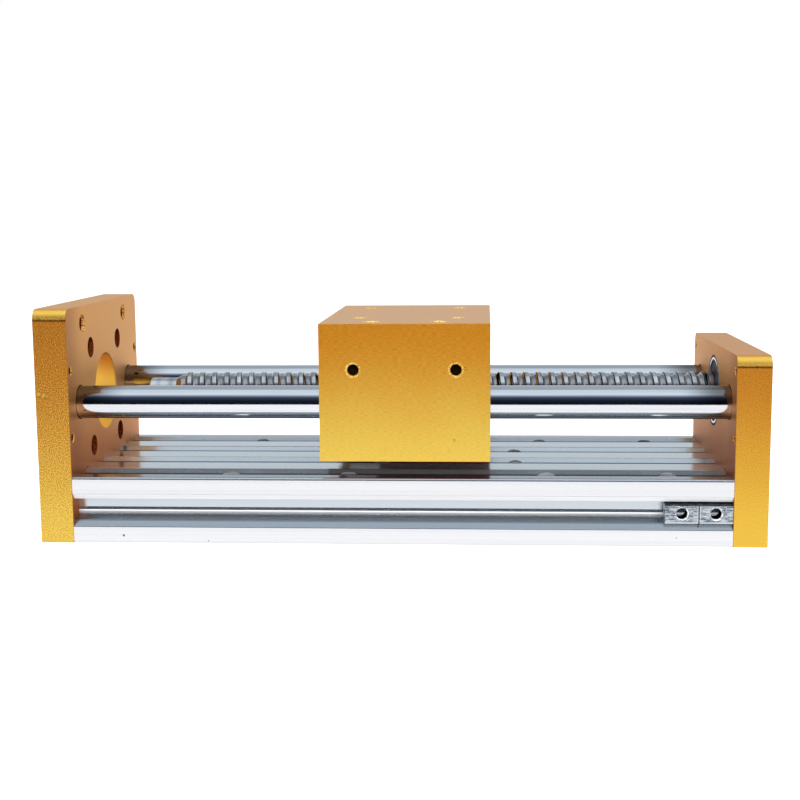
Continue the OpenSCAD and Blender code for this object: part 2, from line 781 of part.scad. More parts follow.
module bush_end_rings() {
    color("black") for (y = [-rod_y, rod_y], x = [bush_left, bush_right - bush_ring_t])
        tube(bush_sleeve_id - 2 * seat_fit, rod_d + open_fit, x, x + bush_ring_t, y, axis_z);
}

module bush_snap_rings() {
    color("dimgray") for (y = [-rod_y, rod_y]) translate([0, y, axis_z]) difference() {
        tube(bush_od + 1.2 - 2 * seat_fit, bush_od - 2.4, bush_right + 0.05, bush_right + 0.05 + snap_t);
        translate([bush_right - overlap, -2.5, -bush_od]) cube([snap_t + 3 * overlap, 5, bush_od]);
    }
}

// Slot nuts -------------------------------------------------------------------------------------

// A slot nut in the front slot, its threaded face to the front; right is its right end
module slot_nut(right) {
    face = -base_w / 2 + slot_nut_inset;
    wide = -base_w / 2 + slot_lip + 0.1;
    back = face + slot_nut_t;
    slant = slot_nut_w * 0.2;
    boss = slot_nut_boss / 2;
    half = slot_nut_w / 2;
    color("lightslategray") difference() {
        translate([0, 0, slot_nut_z]) extrude_x(right - slot_nut_length, right)
            polygon([
                [face, -boss], [wide, -boss], [wide, -half], [back - slant, -half], [back, slant - half],
                [back, half - slant], [back - slant, half], [wide, half], [wide, boss], [face, boss]
            ]);
        translate([right - slot_nut_length / 2, face, slot_nut_z]) rotate([90, 0, 0])
            tapped_hole(m4_tap, m4_mouth, slot_nut_t + overlap);
    }
}

module outer_slot_nut() { slot_nut(base_end - slot_nut_gap); }

module inner_slot_nut() { slot_nut(base_end - slot_nut_length - 2 * slot_nut_gap); }

base_profile();
motor_plate();
bearing_plate();
front_rod();
rear_rod();
rod_screws();
plate_screws();
bearing_outer_race();
bearing_seals();
ball_screw();
bearing_inner_race();
screw_spacer();
screw_retaining_ring();
bearing_ball_set();
bearing_cage();
carriage_block();
ball_nut();
nut_screws();
nut_wipers();
nut_deflectors();
nut_balls();
front_bush_sleeve();
rear_bush_sleeve();
front_bush_retainer();
rear_bush_retainer();
front_bush_balls();
rear_bush_balls();
bush_end_rings();
bush_snap_rings();
inner_slot_nut();
outer_slot_nut();
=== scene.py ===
"""Looks of a ball screw linear module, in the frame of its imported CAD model.

Lengths are in millimetres unless a name says otherwise. X runs along the screw to the bearing plate,
Y to the back and Z up from the underside of the slot profile.
"""

import json
import math

import bmesh
import bpy
from mathutils import Matrix, Vector


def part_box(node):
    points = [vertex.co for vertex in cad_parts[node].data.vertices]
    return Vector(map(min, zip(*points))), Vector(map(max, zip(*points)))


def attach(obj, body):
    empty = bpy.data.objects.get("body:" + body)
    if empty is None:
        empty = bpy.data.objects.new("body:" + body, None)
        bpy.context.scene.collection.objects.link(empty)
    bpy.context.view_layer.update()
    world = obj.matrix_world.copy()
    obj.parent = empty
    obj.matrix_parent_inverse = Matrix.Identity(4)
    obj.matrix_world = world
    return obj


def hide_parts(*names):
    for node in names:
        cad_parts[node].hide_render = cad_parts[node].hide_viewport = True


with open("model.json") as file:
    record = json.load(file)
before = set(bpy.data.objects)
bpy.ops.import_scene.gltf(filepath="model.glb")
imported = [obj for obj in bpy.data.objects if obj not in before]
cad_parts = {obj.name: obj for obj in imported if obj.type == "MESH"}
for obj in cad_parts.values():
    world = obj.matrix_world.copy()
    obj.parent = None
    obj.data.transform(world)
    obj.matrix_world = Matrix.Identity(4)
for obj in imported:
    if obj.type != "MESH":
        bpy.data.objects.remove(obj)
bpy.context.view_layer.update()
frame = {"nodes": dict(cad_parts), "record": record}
mounts = {mount["name"]: mount for mount in frame["record"]["mounts"]}
MM = 0.001


# Camera: a short telephoto lens in front of the carriage, a little above the screw, looking slightly
# down and to the left.
camera_place = Vector((25.5, -431.4, 97.1)) * MM
turn, tilt, roll = -0.0632, -0.1364, -0.0079
ahead = Vector((math.sin(turn) * math.cos(tilt), math.cos(turn) * math.cos(tilt), math.sin(tilt)))
level = Vector((math.cos(turn), -math.sin(turn), 0))
upright = level.cross(ahead)
right = level * math.cos(roll) + upright * math.sin(roll)
up = upright * math.cos(roll) - level * math.sin(roll)
lens = bpy.data.cameras.new("camera")
lens.lens = 61.15
lens.sensor_width = 36
lens.clip_start = 0.01
lens.clip_end = 50
camera = bpy.data.objects.new("camera", lens)
camera.matrix_world = Matrix.Translation(camera_place) @ Matrix((right, up, -ahead)).transposed().to_4x4()
bpy.context.scene.collection.objects.link(camera)
bpy.context.scene.camera = camera
bpy.context.scene.view_settings.view_transform = "Standard"


# Studio: white all round for the camera. Polished metal sees a pale tent overhead, a duller one behind
# the module and a dark room in front of it, above the edge of the white table.
class Wire:
    """An output of a shader node. Arithmetic on it adds Math nodes to the same tree."""

    def __init__(self, socket):
        self.socket = socket
        self.tree = socket.id_data

    @staticmethod
    def node(tree, kind, settings=None, inputs=None):
        """Adds a node of a kind, sets it up and feeds its inputs. Returns its outputs as wires."""
        made = tree.nodes.new("ShaderNode" + kind)
        for name, value in (settings or {}).items():
            if name == "stops":
                ramp = made.color_ramp
                while len(ramp.elements) < len(value):
                    ramp.elements.new(1)
                for element, (place, colour) in zip(ramp.elements, value):
                    element.position = place
                    element.color = (*colour, 1)
            else:
                setattr(made, name, value)
        for name, value in (inputs or {}).items():
            if isinstance(value, Wire):
                tree.links.new(value.socket, made.inputs[name])
            else:
                made.inputs[name].default_value = value
        return [Wire(output) for output in made.outputs]

    def math(self, operation, *others):
        """A Math node with this wire first."""
        inputs = dict(enumerate((self, *others)))
        return Wire.node(self.tree, "Math", {"operation": operation}, inputs)[0]

    def __add__(self, other):
        return self.math("ADD", other)

    def __mul__(self, other):
        return self.math("MULTIPLY", other)

    def __sub__(self, other):
        return self.math("SUBTRACT", other)

    def __rsub__(self, other):
        return Wire.node(self.tree, "Math", {"operation": "SUBTRACT"}, {0: other, 1: self})[0]

    def __truediv__(self, other):
        return self.math("DIVIDE", other)

    __radd__ = __add__
    __rmul__ = __mul__

    def ease(self, low, high, to_low=0.0, to_high=1.0):
        """Goes smoothly from to_low to to_high while this wire goes from low to high."""
        settings = {"interpolation_type": "SMOOTHSTEP"}
        inputs = {"Value": self, "From Min": low, "From Max": high, "To Min": to_low, "To Max": to_high}
        return Wire.node(self.tree, "MapRange", settings, inputs)[0]

    def fade(self, low, high):
        """Goes smoothly from 1 to 0 while this wire goes from low to high."""
        return self.ease(low, high, 1.0, 0.0)

    def within(self, rise_low, rise_high, fall_low, fall_high):
        """Rises smoothly to 1 between the first two values and falls back to 0 between the last two."""
        return self.ease(rise_low, rise_high) * self.fade(fall_low, fall_high)

    def blend(self, first, second):
        """Mixes two colours: the first where this wire is 0, the second where it is 1."""
        first, second = (c if isinstance(c, Wire) else (*c, 1) for c in (first, second))
        inputs = {"Factor": self, 6: first, 7: second}
        return Wire.node(self.tree, "Mix", {"data_type": "RGBA"}, inputs)[2]


def shade(red, green, blue):
    """A display colour of 0 to 255 as linear values."""
    shares = [value / 255 for value in (red, green, blue)]
    return tuple(s / 12.92 if s <= 0.04045 else ((s + 0.055) / 1.055) ** 2.4 for s in shares)


world = bpy.data.worlds.new("studio")
bpy.context.scene.world = world
world.use_nodes = True
sky = world.node_tree
sky.nodes.clear()
direction = Wire.node(sky, "TexCoord")[0]
_, backward, upward = Wire.node(sky, "SeparateXYZ", None, {0: direction})
# 0 at the front horizon, 0.5 overhead and 1 at the back horizon
arch = upward.math("ARCTAN2", backward * -1) / math.pi
tent = Wire.node(sky, "ValToRGB", {"stops": [
    (0.0, shade(14, 20, 30)), (0.1, shade(26, 33, 48)), (0.22, shade(62, 74, 96)),
    (0.29, shade(150, 160, 174)), (0.34, shade(226, 236, 246)), (0.45, shade(214, 226, 236)),
    (0.56, shade(214, 225, 235)), (0.57, shade(166, 176, 184)), (0.8, shade(160, 169, 177)),
    (0.93, shade(212, 221, 227))]}, {0: arch})[0]
tent = upward.ease(-0.02, 0.0).blend(shade(14, 20, 30), tent)
rays = Wire.node(sky, "LightPath")
light = rays[3].blend((0.3, 0.305, 0.32), tent)
light = rays[0].blend(light, (1, 1, 1))
surface = Wire.node(sky, "Background", None, {"Color": light})[0]
Wire.node(sky, "OutputWorld", None, {"Surface": surface})


def lamp(name, place, aim, width, depth, watts):
    """A soft rectangular lamp that polished metal doesn't show."""
    data = bpy.data.lights.new(name, "AREA")
    data.shape = "RECTANGLE"
    data.size, data.size_y = width * MM, depth * MM
    data.energy = watts
    made = bpy.data.objects.new(name, data)
    made.location = Vector(place) * MM
    made.rotation_euler = (Vector(aim) - Vector(place)).to_track_quat("-Z", "Y").to_euler()
    made.visible_glossy = False
    bpy.context.scene.collection.objects.link(made)


lamp("overhead_lamp", (0, 60, 900), (0, 0, 0), 900, 700, 7.0)
lamp("front_lamp", (60, -900, 260), (0, 0, 20), 900, 400, 13.0)


# Table: a white sheet that ends a hand's width in front of the module. It is plain white for the camera
# and in reflections, apart from the module's soft shadow.
def material(name):
    """An empty material and its node tree."""
    made = bpy.data.materials.new(name)
    made.use_nodes = True
    made.node_tree.nodes.clear()
    return made, made.node_tree


table_low, table_high, table_z = (-3000, -255), (3000, 4000), -0.05
corners = [(x, y) for x in (table_low[0], table_high[0]) for y in (table_low[1], table_high[1])]
sheet = bpy.data.meshes.new("table")
sheet.from_pydata([(x * MM, y * MM, table_z * MM) for x, y in corners], [], [(0, 2, 3, 1)])
table = bpy.data.objects.new("table", sheet)
bpy.context.scene.collection.objects.link(table)
paper, tree = material("white_paper")
matt = Wire.node(tree, "BsdfDiffuse", None, {"Color": (0.8, 0.8, 0.8, 1)})[0]
glow = Wire.node(tree, "Emission", None, {"Color": (1, 1, 1, 1), "Strength": 0.84})[0]
both = Wire.node(tree, "AddShader", None, {0: matt, 1: glow})[0]
mirrored = Wire.node(tree, "Emission", None, {"Color": (0.99, 0.985, 1, 1), "Strength": 1.06})[0]
rays = Wire.node(tree, "LightPath")
seen = Wire.node(tree, "MixShader", None, {0: rays[0], 1: matt, 2: both})[0]
surface = Wire.node(tree, "MixShader", None, {0: rays[3], 1: seen, 2: mirrored})[0]
Wire.node(tree, "OutputMaterial", None, {"Surface": surface})
sheet.materials.append(paper)


# Base: an extruded aluminium profile with four slots above and below and one in each side, cut to
# length, brushed along its lands and clear anodised. Counterbored holes take the mounting screws.
def span(node):
    """A CAD node's lowest and highest corners, in millimetres."""
    low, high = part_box(node)
    return low / MM, high / MM


def prism(form, outline, low, high, mark=0):
    """Extrudes a (Y, Z) outline from X = low to X = high. Its faces get the material number mark."""
    ends = [[form.verts.new((x, y, z)) for y, z in outline] for x in (low, high)]
    count = len(outline)
    faces = [form.faces.new(ends[0][::-1]), form.faces.new(ends[1])]
    for k in range(count):
        n = (k + 1) % count
        faces.append(form.faces.new((ends[0][k], ends[0][n], ends[1][n], ends[1][k])))
    for face in faces:
        face.material_index = mark


def lathe(form, profile, place, toward, segments=64, mark=0):
    """Turns (distance, radius) points about a line that starts at place and runs toward. A point's third
    value is the material number of the band that ends there, where it differs from mark."""
    axis = Vector(toward).normalized()
    side = axis.orthogonal().normalized()
    other = axis.cross(side)
    turns = [2 * math.pi * k / segments for k in range(segments)]
    spokes = [side * math.cos(t) + other * math.sin(t) for t in turns]
    rings = []
    for distance, radius, *_ in profile:
        middle = Vector(place) + axis * distance
        if radius < 1e-6:
            rings.append([form.verts.new(middle)] * segments)
        else:
            rings.append([form.verts.new(middle + spoke * radius) for spoke in spokes])
    for one, two, point in zip(rings, rings[1:], profile[1:]):
        for k in range(segments):
            n = (k + 1) % segments
            corners = list(dict.fromkeys((one[k], one[n], two[n], two[k])))
            if len(corners) > 2:
                form.faces.new(corners).material_index = point[2] if len(point) > 2 else mark
    for ring in (rings[0][::-1], rings[-1]):
        if ring[0] is not ring[1]:
            form.faces.new(ring).material_index = mark


def finished(name, form, cuts=None, edge=0.0, crease=35):
    """Makes a mesh of a form less its cuts. Its edges are broken by edge, and edges sharper than crease
    stay sharp where it is shaded."""
    blocks = []
    for use, shape in (("blank", form), ("tool", cuts)):
        if shape is None:
            continue
        bmesh.ops.recalc_face_normals(shape, faces=shape.faces)
        data = bpy.data.meshes.new(name + use)
        shape.to_mesh(data)
        shape.free()
        block = bpy.data.objects.new(name + use, data)
        bpy.context.scene.collection.objects.link(block)
        blocks.append(block)
    blank = blocks[0]
    marks = 1 + max((p.material_index for block in blocks for p in block.data.polygons), default=0)
    for block in blocks:
        for _ in range(marks):
            block.data.materials.append(None)
    if cuts is not None:
        cut = blank.modifiers.new("cut", "BOOLEAN")
        cut.operation, cut.solver, cut.object = "DIFFERENCE", "EXACT", blocks[1]
        cut.use_self = True
    if edge:
        bevel = blank.modifiers.new("edge", "BEVEL")
        bevel.width, bevel.segments = edge, 2
        bevel.limit_method, bevel.angle_limit = "ANGLE", math.radians(35)
        bevel.use_clamp_overlap = True
    bpy.context.view_layer.update()
    data = bpy.data.meshes.new_from_object(blank.evaluated_get(bpy.context.evaluated_depsgraph_get()))
    data.name = name
    for block in blocks:
        mesh = block.data
        bpy.data.objects.remove(block)
        bpy.data.meshes.remove(mesh)
    data.transform(Matrix.Scale(MM, 4))
    data.polygons.foreach_set("use_smooth", [True] * len(data.polygons))
    data.set_sharp_from_angle(angle=math.radians(crease))
    return data


def part(name, data, finishes, body, slot_name, *nodes):
    """Links a mesh as a piece that rides on a body and stands for CAD nodes."""
    while len(data.materials) < len(finishes):
        data.materials.append(None)
    for k, finish in enumerate(finishes):
        data.materials[k] = finish
    piece = bpy.data.objects.new(name, data)
    bpy.context.scene.collection.objects.link(piece)
    level_off = piece.modifiers.new("flat_faces", "WEIGHTED_NORMAL")
    level_off.mode, level_off.weight, level_off.keep_sharp = "FACE_AREA", 100, True
    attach(piece, body)
    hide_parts(*nodes)


def holes(name):
    """The places of a mount's holes and their radius."""
    mount = mounts[name]
    rows = [k for k in range(3) if abs(mount["axis"][k]) < 0.5]
    dims = mount["dims"]
    halves = [dims.get(key, 0) / 2 for key in ("spacing_x_mm", "spacing_y_mm")]
    found = [Vector(mount["pos_m"]) / MM]
    for row, half in zip(rows, halves):
        if half:
            found = [p + Vector([sign * half if k == row else 0 for k in range(3)])
                     for p in found for sign in (-1, 1)]
    return found, dims.get("hole_r_mm") or dims["r_mm"]


def bare_surface(name):
    """A new material and the place on its piece, as a vector in metres."""
    made, tree = material(name)
    return made, Wire.node(tree, "TexCoord")[3]


def spread(where):
    """X, Y and Z of a place, in millimetres."""
    return [share / MM for share in Wire.node(where.tree, "SeparateXYZ", None, {0: where})]


def gap(where, point):
    """The distance from a point, in millimetres."""
    inputs = {0: where, 1: tuple(value * MM for value in point)}
    return Wire.node(where.tree, "VectorMath", {"operation": "DISTANCE"}, inputs)[1] / MM


def texture(where, fineness, detail, roughness=0.5, tilt=0.0):
    """Noise of 0 to 1. Its fineness is one number, or three where it is drawn out along an axis, and
    tilt turns that axis about Y."""
    if isinstance(fineness, tuple):
        inputs = {0: where, "Rotation": (0, tilt, 0), "Scale": fineness}
        where = Wire.node(where.tree, "Mapping", None, inputs)[0]
        fineness = 1.0
    inputs = {"Vector": where, "Scale": fineness, "Detail": detail, "Roughness": roughness}
    return Wire.node(where.tree, "TexNoise", None, inputs)[0]


def relief(height, strength, depth):
    """The normal of a surface with a height on it. depth is in millimetres."""
    inputs = {"Strength": strength, "Distance": depth * MM, "Height": height}
    return Wire.node(height.tree, "Bump", None, inputs)[0]


def coat(made, colour, metallic, roughness, normal=None):
    """Closes a material with its surface."""
    inputs = {"Base Color": colour, "Metallic": metallic, "Roughness": roughness}
    if normal:
        inputs["Normal"] = normal
    surface = Wire.node(made.node_tree, "BsdfPrincipled", None, inputs)[0]
    Wire.node(made.node_tree, "OutputMaterial", None, {"Surface": surface})


def machined(name, dark, light, metallic, smooth, dull, fineness=1500.0, marked=(0.35, 0.65),
             strength=0.0, depth=0.02):
    """A drilled or turned wall: its two colours, how metallic and how rough it is, and its tool marks'
    fineness, contrast and relief."""
    made, where = bare_surface(name)
    marks = texture(where, fineness, 2.0)
    normal = relief(marks, strength, depth) if strength else None
    coat(made, marks.ease(*marked).blend(dark, light), metallic, marks.ease(0.3, 0.7, smooth, dull), normal)
    return made


base_end, base_half, base_top = span("base_profile")[1]
cell = 20
slot_rows = [cell * k for k in (-1.5, -0.5, 0.5, 1.5)]
# half widths of a slot's mouth, throat, cavity and floor, and the depths of its lips and its floor
mouth, throat, cavity, floor_half = 4.9, 3.1, 5.5, 2.8
lip, slot_depth = 2.1, 6.1
lip_round, lip_drop, throat_round = 0.25, 0.12, 0.1
chamfer = mouth - throat
# the floor dips to a low ridge, which is off the middle in the side slots
floor_dip, ridge_half, ridge, ridge_drop = 0.27, 0.6, 0.16, 0.8
edge_round = 0.8
counterbore_depth, counterbore_radius = 6.1, 4.3


def slot_side():
    """Half a slot as (distance from its middle, depth), from its mouth in to its middle."""
    corner = slot_depth - (cavity - floor_half)
    beside_ridge = slot_depth + floor_dip * (1 - ridge_half / floor_half)
    return [(mouth + lip_round, 0), (mouth, lip_drop), (throat + throat_round, chamfer - throat_round),
            (throat, chamfer + throat_round), (throat, lip), (cavity, lip), (cavity, corner),
            (floor_half, slot_depth), (ridge_half, beside_ridge), (0, beside_ridge - ridge)]


def slot(middle, along, inward, shift=0.0):
    """One whole slot's points, along the outline's direction. shift moves the ridge on its floor."""
    side = slot_side()
    whole = [(-across, depth) for across, depth in side] + side[-2::-1]
    whole = [(a + shift if abs(a) <= ridge_half else a, depth) for a, depth in whole]
    return [tuple(middle[k] + along[k] * across + inward[k] * depth for k in (0, 1))
            for across, depth in whole]


def quarter(middle, radius, start, steps=8):
    """Points of a quarter circle, anticlockwise from an angle in degrees."""
    angles = [math.radians(start + 90 * k / steps) for k in range(steps + 1)]
    return [(middle[0] + radius * math.cos(a), middle[1] + radius * math.sin(a)) for a in angles]


outline = []
for y in slot_rows:
    outline += slot((y, 0), (1, 0), (0, 1))
outline += quarter((base_half - edge_round, edge_round), edge_round, -90)
outline += slot((base_half, base_top / 2), (0, 1), (-1, 0), -ridge_drop)
outline += quarter((base_half - edge_round, base_top - edge_round), edge_round, 0)
for y in reversed(slot_rows):
    outline += slot((y, base_top), (-1, 0), (0, -1))
outline += quarter((-base_half + edge_round, base_top - edge_round), edge_round, 90)
outline += slot((-base_half, base_top / 2), (0, -1), (1, 0), ridge_drop)
outline += quarter((-base_half + edge_round, edge_round), edge_round, 180)
form, cuts = bmesh.new(), bmesh.new()
prism(form, outline, -base_end, base_end)
for name in ("outer_slot_near_holes", "outer_slot_far_holes", "inner_slot_holes"):
    places, radius = holes(name)
    step = base_top - counterbore_depth
    profile = [(-1, 0), (-1, radius), (step, radius), (step, counterbore_radius),
               (base_top + 1, counterbore_radius), (base_top + 1, 0)]
    for place in places:
        lathe(cuts, profile, (place.x, place.y, 0), (0, 0, 1), 48, 1)
base_mesh = finished("base", form, cuts, crease=16)

silver, where = bare_surface("brushed_anodised_aluminium")
_, y_mm, level = spread(where)
lines = texture(where, (4, 1500, 1500), 3.0)
bands = texture(where, (2, 420, 420), 2.0)
# how far a point lies behind the long sides, and behind the nearest outer face
inset = base_half - y_mm.math("ABSOLUTE")
deep = inset.math("MINIMUM", base_top - level).math("MINIMUM", level)
colour = (lines * 0.5 + bands * 0.5).ease(0.38, 0.62).blend(shade(230, 232, 235), shade(240, 241, 243))
on_top = level.ease(base_top - 0.1, base_top - 0.02)
near_top = level.ease(base_top - 3, base_top - 2.5)
# painted shade: the top faces darker than the front
colour = on_top.blend(colour, lines.ease(0.35, 0.65).blend(shade(200, 205, 210), shade(216, 220, 224)))
# painted shade: darker and bluer deeper inside the slots
colour = deep.ease(lip + 0.1, lip + 1.1).blend(colour, shade(206, 213, 220))
# the chamfers of the slots' mouths, painted darker as shade, except a side slot's upper one, which is dull
above_middle = level - base_top / 2
sloped = deep.within(lip_drop, lip_drop + 0.08, chamfer - 0.1, chamfer)
under_lip = above_middle.within(throat - 0.2, throat - 0.1, mouth - 0.1, mouth)
under_lip = under_lip * deep.within(0.05, 0.15, lip - 0.2, lip)
open_slope = sloped * (1 - under_lip) * near_top
colour = (sloped * (1 - under_lip)).blend(colour, shade(202, 209, 214))
# painted shade in the corners of the upper slots' lips
corner_shade_paint = deep.within(chamfer - 0.6, chamfer - 0.45, lip, lip + 0.2) * near_top
colour = (corner_shade_paint * 0.9).blend(colour, shade(92, 98, 108))
# the narrow lands along the two long edges are painted darker on top, as shade
colour = (on_top * inset.fade(mouth - 0.2, mouth + 0.2) * 0.8).blend(colour, shade(158, 165, 172))
# in the side slots: painted shade along the lower lip and on its chamfer, and a painted highlight below the
# ridge
lower_lip_shade = inset.within(1.3, 1.5, lip - 0.1, lip + 0.1) * above_middle.within(-4.5, -4, -2.5, -2)
colour = (lower_lip_shade * 0.8).blend(colour, shade(92, 98, 108))
# painted shade on the lower lip's chamfer
lower_chamfer_shade = inset.within(0.1, 0.2, lip - 0.1, lip + 0.1) * above_middle.within(-5.2, -5, -3, -2.7)
colour = (lower_chamfer_shade * 0.6).blend(colour, shade(146, 154, 162))
# painted highlight: a white line and a paler band below the floor's ridge
above_ridge = above_middle + ridge_drop
line = (above_ridge + 0.5).math("ABSOLUTE").fade(0.12, 0.26)
below = above_ridge.within(-2.0, -0.6, -0.55, -0.4) * 0.45
ridge_highlight = line.math("MAXIMUM", below) * inset.within(5.6, 5.9, 7, 7.4)
colour = ridge_highlight.blend(colour, shade(246, 248, 250))
# dark specks on the front: their X, Z and size
for x, z, size in ((-82.4, 2.3, 0.42), (-93.9, 6.5, 0.3), (-56.8, 0.9, 0.22), (81.2, 2.7, 0.2)):
    away = gap(where, (x, -base_half, z)) + (lines - 0.5) * size
    colour = (away.fade(size * 0.6, size) * 0.85).blend(colour, shade(52, 54, 60))
metallic = 0.94 - under_lip * 0.7 - ridge_highlight * 0.8 - open_slope * 0.04
height = lines * 0.7 + bands * 0.3
coat(silver, colour, metallic, lines.ease(0.3, 0.7, 0.14, 0.2), relief(height, 0.03, 0.02))

# the base's drilled walls, painted darker as the shade inside the holes
bare = machined("drilled_aluminium", shade(112, 114, 120), shade(206, 208, 212), 0.6, 0.25, 0.4,
                (60, 60, 2600), (0.4, 0.6), 0.3)
part("base", base_mesh, [silver, bare], "frame", "clear_anodised", "base_profile")


# End plates: 10 mm aluminium plates, milled, drilled, tapped, bead blasted and gold anodised. Their
# upper corners are rounded and stay smoother than the blasted edges below them.
def gold(name, low_z, high_z, top_z, low_colour, high_colour, grain_depth, nicks, corner_z=None, face=()):
    """Gold anodising, painted lighter and yellower toward low_z as light, with blasted grain on the faces
    across Y and a top face at top_z painted paler as light. Nicks are places and sizes. A plate's rounded
    corners, above corner_z, are smooth with a painted highlight, and its faces across X are satin in the
    two face colours from bottom to top, painted as shade. A block has no such corners, and its underside
    is painted dark as shade and made duller."""
    made, where = bare_surface(name)
    x_mm, y_mm, z_mm = spread(where)
    cloud = texture(where, 45.0, 3.0)
    grain = texture(where, 3400.0, 5.0, 0.68)
    if not corner_z:
        grain = grain * 0.45 + texture(where, (700, 5200, 5200), 2.0) * 0.55
    # painted light: lighter and yellower toward low_z, clouded by noise
    rise = (z_mm + (cloud - 0.5) * 10).ease(low_z, high_z)
    colour = rise.blend(low_colour, high_colour)
    aside = y_mm.math("ABSOLUTE")
    edge = aside.ease(base_half - 0.4, base_half - 0.1)
    blasted = edge * (rise * 0.5 + 0.5) * grain_depth
    if corner_z:
        past = z_mm.ease(corner_z + 0.1, corner_z + 0.5)
        blasted = blasted * (1 - past * 0.5)
        across = (x_mm.math("ABSOLUTE") - base_end).math("ABSOLUTE").fade(0.04, 0.2)
        # the faces across X: satin brown, painted as shade darker toward the bottom and the front, and as
        # light paler toward the back
        brown = (z_mm + (cloud - 0.5) * 8).ease(14, 52).blend(*face)
        brown = (y_mm.ease(-20, 40) * 0.4).blend(brown, shade(226, 172, 118))
        brown = (y_mm.fade(-base_half, -22) * 0.45).blend(brown, shade(150, 68, 6))
        colour = across.blend(colour, brown)
        # a painted highlight along the outer part of the rounded corners
        outer = aside.ease(base_half - 2.8, base_half - 1.2)
        colour = (past * outer * (1 - across)).blend(colour, shade(255, 206, 92))
        metallic, dulled, top_light_share = 0.8, across * 0.12, 0.2
    else:
        # painted shade: the underside dark red-brown, and also less metallic and rougher
        under_shade = z_mm.fade(low_z + 0.05, low_z + 0.2)
        colour = under_shade.blend(colour, shade(168, 70, 34))
        metallic, dulled, top_light_share = (1 - under_shade) * 0.8, under_shade * 0.5, 0.5
    # painted light: the top face paler
    top = z_mm.ease(top_z - 0.12, top_z - 0.03)
    colour = (top * top_light_share).blend(colour, shade(250, 206, 156))
    # the blasted grain: dark pits, and painted glints on its peaks
    pits, glints = grain.fade(0.4, 0.56), grain.ease(0.56, 0.68)
    darker = tuple(value * share for value, share in zip(high_colour, (0.5, 0.36, 0.2)))
    colour = (pits * blasted).blend(colour, darker)
    colour = (glints * blasted * 0.8).blend(colour, shade(255, 232, 150))
    height = grain * 0.75 + texture(where, 5200.0, 1.0) * 0.25
    if corner_z:
        # the ragged line between the smooth corner and the blasted edge
        wander = (grain - 0.5) * 1.4 + (cloud - 0.5) * 0.8
        seam = (z_mm - corner_z + wander).math("ABSOLUTE").fade(0.16, 0.38) * edge
        colour = (seam * 0.85).blend(colour, shade(84, 50, 16))
        height = height - seam * 0.8
    for place, size in nicks:
        ragged = gap(where, place) + (grain - 0.5) * size * 2.6
        dent = ragged.fade(size * 0.7, size * 1.1)
        burr = ragged.fade(size * 0.45, size * 0.75)
        colour = (dent * 0.6).blend(colour, shade(110, 56, 8))
        colour = (burr * 0.9).blend(colour, shade(255, 190, 76))
        height = height - dent * 0.5 + burr * 0.4
    rough = grain.ease(0.3, 0.7, 0.36, 0.46) + dulled
    coat(made, colour, metallic, rough, relief(height, 0.12 + blasted, 0.03))
    return made


# drilled walls: their anodising, painted darker as the shade inside the holes
gold_bore = machined("gold_drilled_wall", shade(62, 22, 6), shade(120, 50, 12), 0.2, 0.5, 0.65,
                     strength=0.3)
# a near-black wall painted as shade: in the carriage's tapped holes, the rod seats and the bearing's pocket
hole_shade_paint = machined("dark_tapped_hole", shade(12, 8, 6), shade(54, 28, 10), 0.1, 0.6, 0.75)
plate_rim = machined("brown_countersink", shade(132, 70, 22), shade(240, 172, 80), 0.3, 0.25, 0.4,
                     1800.0, (0.4, 0.56), 0.5, 0.03)

plate_end = span("bearing_plate")[1].x
plate_thick = plate_end - base_end
through = plate_thick + 1
axis_height = mounts["drive_journal"]["pos_m"][2] / MM
rod_low, rod_high = span("rear_rod")
rod_radius = (rod_high.y - rod_low.y) / 2
rod_y = rod_low.y + rod_radius
plate_corner = 3.2
seat_depth, seat_play = 5, 0.02
seat_chamfer_depth, seat_chamfer = 0.6, 0.25
# the M5 screws that hold the plates, in their counterbores, and those in the rods, in countersinks
screw_socket, screw_socket_depth, screw_way = 4.75, 5.4, 2.75
sink_mouth, sink_way, sink_depth = 4.8, 2.1, 6
# a thread's pitch and the radius of its hole's chamfered mouth
m3_thread, m4_thread, m5_thread = (0.5, 1.6), (0.7, 2.25), (0.8, 2.9)
# its rings begin this far above the hole's floor and are this deep
thread_inset, thread_rise = 0.3, 0.35
m3_head_depth, m3_head_radius = 4, 3.25


def tapped(form, place, toward, core, thread, depth, wall=1):
    """Cuts a tapped hole with a chamfered mouth. Its thread is drawn as rings. wall is the material
    number of its wall, and its chamfer's is 2."""
    pitch, opening = thread
    profile = [(-depth, 0), (-depth, core)]
    step = thread_inset - depth
    while step + pitch < core - opening - 0.05:
        profile += [(step, core), (step + pitch / 2, core + thread_rise)]
        step += pitch
    profile += [(core - opening, core), (0, opening, 2), (1, opening + 1, 2), (1, 0)]
    lathe(form, profile, place, toward, 32, wall)


def plate_taps(form, name, inner, toward, thread):
    """Cuts every hole of a tapped mount right through a plate."""
    places, radius = holes(name)
    for place in places:
        tapped(form, (inner, place.y, place.z), toward, radius, thread, through)


def stepped(form, place, toward, steps, mark=1):
    """Cuts a stepped round hole: (depth, radius) pairs from the mouth inwards."""
    profile = [(1, 0), (1, steps[0][1])]
    for (depth, radius), (_, following) in zip(steps, steps[1:] + [(0, 0)]):
        profile += [(-depth, radius), (-depth, following)]
    lathe(form, profile, place, toward, 48, mark)


